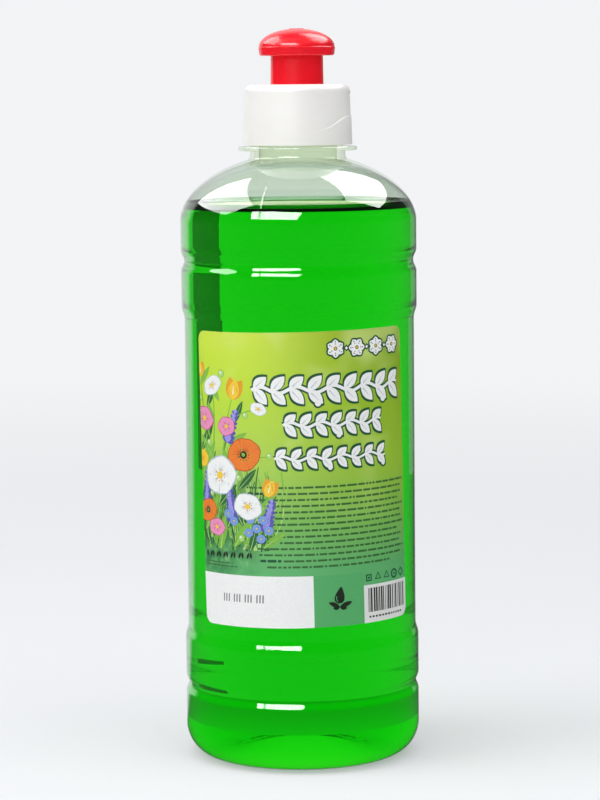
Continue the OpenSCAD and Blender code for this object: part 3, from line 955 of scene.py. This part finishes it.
    def meadow(self):
        """The bunch of garden and field flowers down the left side."""
        rng = self.rng
        for i in range(90):
            s = rng.uniform(-34, -8)
            foot = rng.uniform(21, 28)
            reach = rng.uniform(8, 30) * (1 - 0.4 * (s + 34) / 25)
            ink = rng.choice(("leaf", "pale_leaf", "deep_leaf", "leaf", "deep_leaf"))
            self.stem((s, foot), (s + rng.uniform(-4, 4), foot + reach), rng.uniform(-1.6, 1.6), rng.uniform(0.5, 1.1), ink, 0.016)
        for s, z, angle, length in (
            (-30, 22, -24, 9), (-26, 21, 12, 11), (-21, 22, 38, 10), (-16, 21, 20, 9), (-12, 22, 52, 8),
            (-32, 26, 30, 12), (-28, 29, -20, 11), (-23, 27, 16, 12), (-18, 28, -28, 10), (-14, 30, 36, 9),
            (-31, 38, -16, 10), (-26, 33, 42, 9), (-21, 40, -18, 10), (-33, 48, 34, 10), (-28, 46, -36, 8),
            (-30, 60, 28, 8), (-25, 62, -32, 7), (-20, 56, 24, 7), (-16, 44, -46, 7), (-33, 66, 40, 7),
            (-33, 34, 24, 8), (-24, 36, -40, 7), (-19, 38, 46, 8), (-31, 45, 40, 7), (-27, 56, -30, 6), (-22, 50, 56, 7),
        ):
            self.leaf(s, z, angle, length, length * 0.26, rng.choice(("leaf", "deep_leaf")), "pale_leaf", 0.022, rng.uniform(-0.8, 0.8))
        for a, b, bow in (
            ((-27, 24), (-25.5, 41), 1.2), ((-17, 23), (-15.5, 31), -0.8), ((-30, 40), (-27.6, 66), -1.5),
            ((-22, 30), (-17.5, 47), 1.8), ((-24, 40), (-20.4, 63), 1.2), ((-31, 24), (-30.6, 31), 0.5),
            ((-31, 45), (-31.5, 57), -0.6), ((-14, 24), (-10.2, 37), -1.2), ((-29, 52), (-32.2, 69.5), 1.2),
            ((-24, 52), (-12.5, 60), 2.2), ((-20, 44), (-10, 47), 1.0),
        ):
            self.stem(a, b, bow, 0.6, "leaf", 0.024)
        for s, z, length, angle in ((-32, 23, 20, 4), (-20.5, 22, 19, -6), (-12.6, 21, 15, 14), (-24.5, 45, 16, 20)):
            self.spike(s, z, length, angle)
        for s, z in ((-13.8, 27.4), (-11.9, 29.8), (-15.6, 29.9), (-10.3, 26.9), (-12.6, 24.6), (-16.2, 26.2), (-22.8, 31.2), (-20.9, 29.2)):
            self.blossom(s, z, 1.35, 5, rng.uniform(0, 72), "sky", "violet", "yellow", 0.9, 0, 0.044)
        self.tulip(-20.4, 62.6, 6.2, 14, 0.04)
        self.tulip(-32.3, 68.4, 4.2, -6, 0.04)
        self.tulip(-10.6, 36.2, 5.2, 22, 0.04)
        self.poppy(-17.2, 47.6, 5.0, 24, 0.86, 0.05)
        self.poppy(-30.8, 31.6, 3.7, -12, 0.8, 0.05)
        self.blossom(-25.4, 41.6, 5.7, 5, 12, "white", "petal_shade", "yellow", 0.92, 25, 0.062)
        self.blossom(-16.4, 33.4, 4.3, 5, 40, "white", "petal_shade", "yellow", 0.84, -15, 0.062)
        self.blossom(-27.6, 66.2, 3.7, 5, 6, "white", "petal_shade", "yellow", 0.66, 30, 0.05)
        self.blossom(-31.2, 57.0, 3.8, 5, 28, "pink", "rose", "yellow", 0.82, -20, 0.05)
        self.blossom(-22.6, 55.2, 2.9, 5, 50, "pink", "rose", "yellow", 0.9, 10, 0.05)
        self.blossom(-27.2, 27.2, 3.1, 5, 20, "pink", "rose", "yellow", 0.76, 0, 0.058)
        self.blossom(-32.6, 45.8, 2.6, 5, 0, "yellow", "amber", "amber", 0.9, 0, 0.05)
        self.blossom(-12.4, 60.2, 2.4, 5, 33, "white", "petal_shade", "yellow", 0.7, -20, 0.05)
        for s, z, r in ((-24, 69.6, 0.95), (-16.4, 58.4, 0.8), (-29.4, 50.4, 0.8), (-19, 41.2, 0.8), (-9.6, 47.4, 0.75),
                        (-22.4, 36.0, 0.9), (-28.8, 36.4, 0.7), (-9.4, 31.6, 0.8), (-33, 62.6, 0.8), (-18.6, 24.6, 0.9)):
            self.berry(s, z, r)

    def draw(self):
        self.meadow()
        self.garland(-14.2, 31.4, 61.0, 8.8, 9)
        self.garland(-5.6, 24.2, 52.2, 7.2, 7)
        self.garland(-8.2, 25.6, 43.4, 6.4, 8)
        self.rosettes(9.4, 28.6, 76.2, 2.5, 4)
        self.fine_print()
        self.foot_band()
        self.marks()
        return self.shapes


def ink_material(name, colour):
    """Printed ink: fine dots of tone under a clear film."""
    material, tree, out = new_material("ink_" + name)
    nodes, links = tree.nodes, tree.links
    shader = nodes.new("ShaderNodeBsdfPrincipled")
    bright = [min(c * 1.03, 0.9) for c in colour]
    tone = ramp(tree, noise(tree, 2600, 3), (0.32, [c * 0.95 for c in colour]), (0.66, bright))
    links.new(tone, shader.inputs["Base Color"])
    shader.inputs["Roughness"].default_value = 0.38
    shader.inputs["Coat Weight"].default_value = 0.15
    shader.inputs["Coat Roughness"].default_value = 0.2
    links.new(shader.outputs["BSDF"], out.inputs["Surface"])
    return material


def film_front():
    """The printed ground of the label: yellow green above, mint green below, soft lights in it.
    Towards the right it turns darker olive, partly the print's own tone and partly painted shade
    where the label turns from the light.
    """
    material, tree, out = new_material("label_ground")
    nodes, links = tree.nodes, tree.links
    shader = nodes.new("ShaderNodeBsdfPrincipled")
    place = nodes.new("ShaderNodeTexCoord")
    axes = nodes.new("ShaderNodeSeparateXYZ")
    links.new(place.outputs["Object"], axes.inputs["Vector"])

    def span(socket, low, high):
        node = nodes.new("ShaderNodeMapRange")
        node.interpolation_type = "SMOOTHSTEP"
        node.inputs["From Min"].default_value = low
        node.inputs["From Max"].default_value = high
        links.new(socket, node.inputs["Value"])
        return node.outputs["Result"]

    def blend(share, low, high):
        node = nodes.new("ShaderNodeMix")
        node.data_type = "RGBA"
        links.new(share, node.inputs["Factor"])
        for key, value in ((6, low), (7, high)):
            if isinstance(value, tuple):
                node.inputs[key].default_value = (*value, 1)
            else:
                links.new(value, node.inputs[key])
        return node.outputs[2]

    rise = nodes.new("ShaderNodeMapRange")
    rise.inputs["From Min"].default_value = LABEL_Z * MM
    rise.inputs["From Max"].default_value = (LABEL_Z + LABEL_H) * MM
    links.new(axes.outputs["Z"], rise.inputs["Value"])
    left = ramp(
        tree, rise.outputs["Result"],
        (0.0, (0.11, 0.5, 0.18)), (0.2, (0.12, 0.48, 0.16)), (0.36, (0.2, 0.52, 0.1)),
        (0.55, (0.42, 0.66, 0.08)), (0.8, (0.52, 0.74, 0.035)), (1.0, (0.6, 0.78, 0.05)),
    )
    # The right-hand ramp is darker olive towards the top: partly the print's own tone, partly painted shade where the
    # round label turns away from the light
    right = ramp(
        tree, rise.outputs["Result"],
        (0.0, (0.1, 0.46, 0.17)), (0.2, (0.1, 0.42, 0.13)), (0.38, (0.2, 0.48, 0.06)),
        (0.55, (0.3, 0.52, 0.02)), (0.8, (0.26, 0.46, 0.006)), (1.0, (0.22, 0.38, 0.004)),
    )
    colour = blend(span(axes.outputs["X"], -0.022, 0.031), left, right)
    glow = math_node(tree, "MULTIPLY", span(noise(tree, 46), 0.5, 0.72), span(axes.outputs["Z"], 0.062, 0.1))
    colour = blend(math_node(tree, "MULTIPLY", glow, 0.5), colour, (0.72, 0.86, 0.3))
    across = math_node(tree, "DIVIDE", math_node(tree, "ADD", axes.outputs["X"], 0.027), 0.02)
    up = math_node(tree, "DIVIDE", math_node(tree, "ADD", axes.outputs["Z"], -0.069), 0.02)
    across = math_node(tree, "MULTIPLY", across, across)
    off = math_node(tree, "ADD", across, math_node(tree, "MULTIPLY", up, up))
    off = math_node(tree, "ADD", off, math_node(tree, "MULTIPLY", noise(tree, 150, 4), 1.1))
    shade = math_node(tree, "SUBTRACT", 1, span(off, 0.45, 1.7))
    thicket = ramp(
        tree, noise(tree, 420, 5),
        (0.3, (0.012, 0.09, 0.05)), (0.5, (0.03, 0.2, 0.06)), (0.64, (0.12, 0.36, 0.12)), (0.8, (0.4, 0.6, 0.4)),
    )
    colour = blend(math_node(tree, "MULTIPLY", shade, 0.9), colour, thicket)
    links.new(colour, shader.inputs["Base Color"])
    waves = nodes.new("ShaderNodeBump")
    waves.inputs["Strength"].default_value = 0.06
    waves.inputs["Distance"].default_value = 0.001
    links.new(noise(tree, 130), waves.inputs["Height"])
    links.new(waves.outputs["Normal"], shader.inputs["Normal"])
    shader.inputs["Roughness"].default_value = 0.36
    shader.inputs["Coat Weight"].default_value = 0.15
    shader.inputs["Coat Roughness"].default_value = 0.2
    links.new(shader.outputs["BSDF"], out.inputs["Surface"])
    return material


def label():
    outline = rounded(-LABEL_W / 2, LABEL_W / 2, 0, LABEL_H, CORNER_R, 6)
    film = plates("label_film", [(0, 0.0, outline)], FILM_IN)
    film.data.materials.append(film_front())
    film.data.materials.append(plastic("label_back", (0.82, 0.83, 0.8), 0.5))
    back = FILM_OUT - 0.06
    for face in film.data.polygons:
        r = math.hypot(face.center.x, face.center.y) / MM
        if r < back:
            face.material_index = 1
    print_sheet = plates("label_print", Print().draw(), FILM_OUT - 0.03)
    for name in INK_NAMES:
        print_sheet.data.materials.append(ink_material(name, INKS[name]))
    for piece in (film, print_sheet):
        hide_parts("label")
        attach(piece, "bottle")
    return film, print_sheet


# Camera, light and floor

CAMERA_Z = 190.0
CAMERA_DISTANCE = 824.3
FOCAL_PX = 2945.0
HORIZON_ROW = 78.8
FRAME_HEIGHT_PX = 800.0
ROLL = math.radians(0.54)


def camera():
    data = bpy.data.cameras.new("camera")
    data.sensor_width = 36
    data.lens = FOCAL_PX / FRAME_HEIGHT_PX * data.sensor_width
    data.clip_start = 0.01
    data.clip_end = 50
    eye = bpy.data.objects.new("camera", data)
    bpy.context.scene.collection.objects.link(eye)
    pitch = math.atan((FRAME_HEIGHT_PX / 2 - HORIZON_ROW) / FOCAL_PX)
    eye.location = (0, -CAMERA_DISTANCE * MM, CAMERA_Z * MM)
    turn = Matrix.Rotation(math.pi / 2 - pitch, 4, "X")
    eye.rotation_mode = "QUATERNION"
    eye.rotation_quaternion = (turn @ Matrix.Rotation(-ROLL, 4, "Z")).to_quaternion()
    bpy.context.scene.camera = eye


def softbox(name, azimuth, elevation, distance, width, height, power, glints=True, lights=True):
    """A soft lamp that faces the bottle. Azimuth 0 is in front and positive to the right.
    glints says whether gloss shows it, and lights whether it lights what is matt."""
    data = bpy.data.lights.new(name, "AREA")
    data.shape = "RECTANGLE"
    data.size = width
    data.size_y = height
    data.energy = power
    lamp = bpy.data.objects.new(name, data)
    bpy.context.scene.collection.objects.link(lamp)
    a, e = math.radians(azimuth), math.radians(elevation)
    aim = Vector((0, 0, 0.12))
    back = Vector((math.sin(a) * math.cos(e), -math.cos(a) * math.cos(e), math.sin(e)))
    lamp.location = aim + back * distance
    lamp.rotation_mode = "QUATERNION"
    lamp.rotation_quaternion = back.to_track_quat("Z", "Y")
    lamp.visible_camera = False
    lamp.visible_transmission = False
    lamp.visible_glossy = glints
    lamp.visible_diffuse = lights
    return lamp


def math_node(tree, kind, *values):
    """A Math node whose inputs are numbers or sockets. Gives its output."""
    node = tree.nodes.new("ShaderNodeMath")
    node.operation = kind
    for i, value in enumerate(values):
        if isinstance(value, (int, float)):
            node.inputs[i].default_value = value
        else:
            tree.links.new(value, node.inputs[i])
    return node.outputs[0]


def floor():
    """The floor is lit as a pale board, and seen as the backdrop's colour with a soft shadow."""
    size = 6.0
    verts = [(x * size, y * size, 0) for x, y in ((-1, -1), (1, -1), (1, 1), (-1, 1))]
    ground = mesh_object("floor", verts, [(0, 1, 2, 3)], smooth=False)
    material, tree, out = new_material("floor")
    nodes, links = tree.nodes, tree.links
    board = nodes.new("ShaderNodeBsdfDiffuse")
    board.inputs["Color"].default_value = (0.8, 0.805, 0.82, 1)
    plain = nodes.new("ShaderNodeEmission")
    plain.inputs["Color"].default_value = (*BACKDROP, 1)
    path = nodes.new("ShaderNodeLightPath")
    seen = math_node(tree, "MAXIMUM", path.outputs["Is Camera Ray"], path.outputs["Is Glossy Ray"])
    place = nodes.new("ShaderNodeTexCoord")
    reach = nodes.new("ShaderNodeVectorMath")
    reach.operation = "LENGTH"
    links.new(place.outputs["Object"], reach.inputs[0])
    fade = nodes.new("ShaderNodeMapRange")
    fade.interpolation_type = "SMOOTHSTEP"
    fade.inputs["From Min"].default_value = 0.12
    fade.inputs["From Max"].default_value = 1.1
    fade.inputs["To Min"].default_value = FLOOR_GLOW
    fade.inputs["To Max"].default_value = 1
    links.new(reach.outputs["Value"], fade.inputs["Value"])
    share = math_node(tree, "MULTIPLY", seen, fade.outputs["Result"])
    share = math_node(tree, "MAXIMUM", share, path.outputs["Is Transmission Ray"])
    mix = nodes.new("ShaderNodeMixShader")
    links.new(share, mix.inputs["Fac"])
    links.new(board.outputs["BSDF"], mix.inputs[1])
    links.new(plain.outputs["Emission"], mix.inputs[2])
    dim = nodes.new("ShaderNodeEmission")
    dim.inputs["Strength"].default_value = DIM_ROOM
    axes = nodes.new("ShaderNodeSeparateXYZ")
    links.new(place.outputs["Object"], axes.inputs["Vector"])
    mirrored = math_node(
        tree, "MULTIPLY", path.outputs["Is Glossy Ray"],
        math_node(tree, "SUBTRACT", 1, path.outputs["Is Transmission Ray"]),
    )
    before = nodes.new("ShaderNodeMapRange")
    before.inputs["From Min"].default_value = 0.76
    before.inputs["From Max"].default_value = 0.66
    before.inputs["To Max"].default_value = 0.95
    right = math_node(tree, "MAXIMUM", axes.outputs["X"], 0)
    ratio = math_node(tree, "SUBTRACT", axes.outputs["Y"], math_node(tree, "MULTIPLY", right, 1.6))
    ratio = math_node(tree, "DIVIDE", ratio, reach.outputs["Value"])
    links.new(ratio, before.inputs["Value"])
    mirrored = math_node(tree, "MULTIPLY", mirrored, before.outputs["Result"])
    whole = nodes.new("ShaderNodeMixShader")
    links.new(mirrored, whole.inputs["Fac"])
    links.new(mix.outputs["Shader"], whole.inputs[1])
    links.new(dim.outputs["Emission"], whole.inputs[2])
    links.new(whole.outputs["Shader"], out.inputs["Surface"])
    ground.data.materials.append(material)


def dark_card():
    """A dark board behind the bottle to the right, outside the picture. Glass shows it."""
    near, far = math.radians(CARD_NEAR), math.radians(CARD_FAR)
    corners = []
    for angle, z in ((near, 0.001), (far, 0.001), (far, 0.45), (near, 0.45)):
        corners.append((CARD_DISTANCE * math.sin(angle), CARD_DISTANCE * math.cos(angle), z))
    card = mesh_object("dark_card", corners, [(0, 1, 2, 3)], smooth=False)
    material, tree, out = new_material("dark_card")
    dark = tree.nodes.new("ShaderNodeBsdfDiffuse")
    dark.inputs["Color"].default_value = (CARD_GREY, CARD_GREY, CARD_GREY, 1)
    tree.links.new(dark.outputs["BSDF"], out.inputs["Surface"])
    card.data.materials.append(material)
    card.visible_camera = False
    card.visible_shadow = False
    card.visible_diffuse = False


def world():
    """A dim room with a pale backdrop. Gloss shows the backdrop only behind the bottle."""
    sky = bpy.data.worlds.new("studio")
    bpy.context.scene.world = sky
    sky.use_nodes = True
    tree = sky.node_tree
    nodes, links = tree.nodes, tree.links
    nodes.clear()
    out = nodes.new("ShaderNodeOutputWorld")
    room = nodes.new("ShaderNodeBackground")
    room.inputs["Color"].default_value = (0.93, 0.95, 1, 1)
    room.inputs["Strength"].default_value = ROOM_LIGHT
    dim = nodes.new("ShaderNodeBackground")
    dim.inputs["Color"].default_value = (1, 1, 1, 1)
    dim.inputs["Strength"].default_value = DIM_ROOM
    plain = nodes.new("ShaderNodeBackground")
    plain.inputs["Color"].default_value = (*BACKDROP, 1)
    plain.inputs["Strength"].default_value = 1
    path = nodes.new("ShaderNodeLightPath")
    through = math_node(
        tree, "MAXIMUM", path.outputs["Is Camera Ray"], path.outputs["Is Transmission Ray"]
    )
    place = nodes.new("ShaderNodeTexCoord")
    axes = nodes.new("ShaderNodeSeparateXYZ")
    links.new(place.outputs["Generated"], axes.inputs["Vector"])
    behind = nodes.new("ShaderNodeMapRange")
    behind.inputs["From Min"].default_value = 0.62
    behind.inputs["From Max"].default_value = 0.72
    right = math_node(tree, "MAXIMUM", axes.outputs["X"], 0)
    ratio = math_node(tree, "SUBTRACT", axes.outputs["Y"], math_node(tree, "MULTIPLY", right, 1.2))
    links.new(ratio, behind.inputs["Value"])
    mirrored = nodes.new("ShaderNodeMixShader")
    links.new(behind.outputs["Result"], mirrored.inputs["Fac"])
    links.new(dim.outputs[0], mirrored.inputs[1])
    links.new(plain.outputs[0], mirrored.inputs[2])
    glossy = nodes.new("ShaderNodeMixShader")
    links.new(path.outputs["Is Glossy Ray"], glossy.inputs["Fac"])
    links.new(room.outputs[0], glossy.inputs[1])
    links.new(mirrored.outputs[0], glossy.inputs[2])
    seen = nodes.new("ShaderNodeMixShader")
    links.new(through, seen.inputs["Fac"])
    links.new(glossy.outputs[0], seen.inputs[1])
    links.new(plain.outputs[0], seen.inputs[2])
    links.new(seen.outputs[0], out.inputs["Surface"])


BACKDROP = (0.885, 0.9, 0.915)
FLOOR_GLOW = 0.4
ROOM_LIGHT = 0.42
DIM_ROOM = 0.035
CARD_NEAR = 21.9
CARD_FAR = 41.0
CARD_DISTANCE = 0.6
CARD_GREY = 0.28

bpy.context.scene.view_settings.view_transform = "Standard"
bottle_shell()
soap()
bubbles()
dress_closure()
label()
camera()
floor()
world()
dark_card()
softbox("left_box", -70, 58, 1.2, 0.7, 1.3, 10, glints=False)
softbox("right_box", 52, 62, 1.2, 0.9, 1.3, 6.5, glints=False)
softbox("front_box", -18, 24, 1.4, 0.95, 0.2, 3, glints=False)
softbox("left_glint", -107, 44, 1.2, 1.25, 0.75, 17, lights=False)
softbox("right_glint", 125, 51, 1.2, 1.15, 0.7, 15, lights=False)
softbox("front_glint", -24, 30, 1.4, 1.14, 0.6, 30, lights=False)
